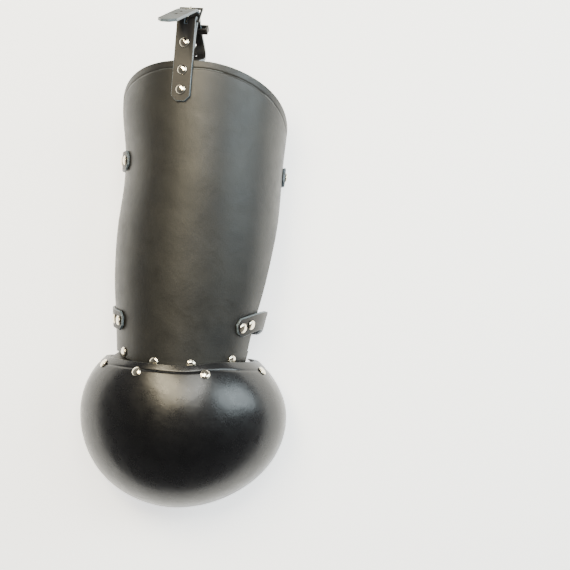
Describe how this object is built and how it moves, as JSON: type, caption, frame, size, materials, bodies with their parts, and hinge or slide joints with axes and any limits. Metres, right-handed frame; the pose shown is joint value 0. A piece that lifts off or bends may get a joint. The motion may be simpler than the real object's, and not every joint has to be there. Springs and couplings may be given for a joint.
{
  "type": "leather cuisse",
  "caption": "Leather thigh armour with a curved front plate, a domed knee cop riveted below it, a belt hanger at the top and buckled straps behind the leg.",
  "frame": {"origin": "under the middle of the whole, on the level it lies on with its open back down", "axes": "+Y along the leg to the hip, +Z out of the front of the thigh, +X to the inner side of the leg"},
  "size_m": [0.2198, 0.5191, 0.1703],
  "materials": {
    "armour_leather": "black, satin, thick vegetable-tanned hide",
    "strap_leather": "black dyed strap leather with cut edges",
    "nickel": "polished nickel plate",
    "black_steel": "black satin"
  },
  "bodies": {
    "root": {"hanger_billet": "strap_leather", "hanger_buckle": "black_steel", "hanger_keeper": "strap_leather", "hanger_prong": "nickel", "hanger_rivet_1": "nickel", "hanger_rivet_2": "nickel", "hanger_rivet_3": "nickel", "hanger_tab": "strap_leather", "knee_cop": "armour_leather", "knee_rivet_1": "nickel", "knee_rivet_2": "nickel", "knee_rivet_3": "nickel", "knee_rivet_4": "nickel", "knee_strip": "strap_leather", "lower_inner_rivet_1": "nickel", "lower_inner_rivet_2": "nickel", "lower_inner_strap": "strap_leather", "lower_outer_rivet_1": "nickel", "lower_outer_rivet_2": "nickel", "lower_outer_strap": "strap_leather", "lower_strap_clasp": "nickel", "plate_rivet_1": "nickel", "plate_rivet_2": "nickel", "plate_rivet_3": "nickel", "plate_rivet_4": "nickel", "thigh_plate": "armour_leather", "upper_inner_rivet_1": "nickel", "upper_inner_rivet_2": "nickel", "upper_inner_strap": "strap_leather", "upper_outer_rivet_1": "nickel", "upper_outer_rivet_2": "nickel", "upper_outer_strap": "strap_leather", "upper_strap_clasp": "nickel"}
  },
  "joints": []
}
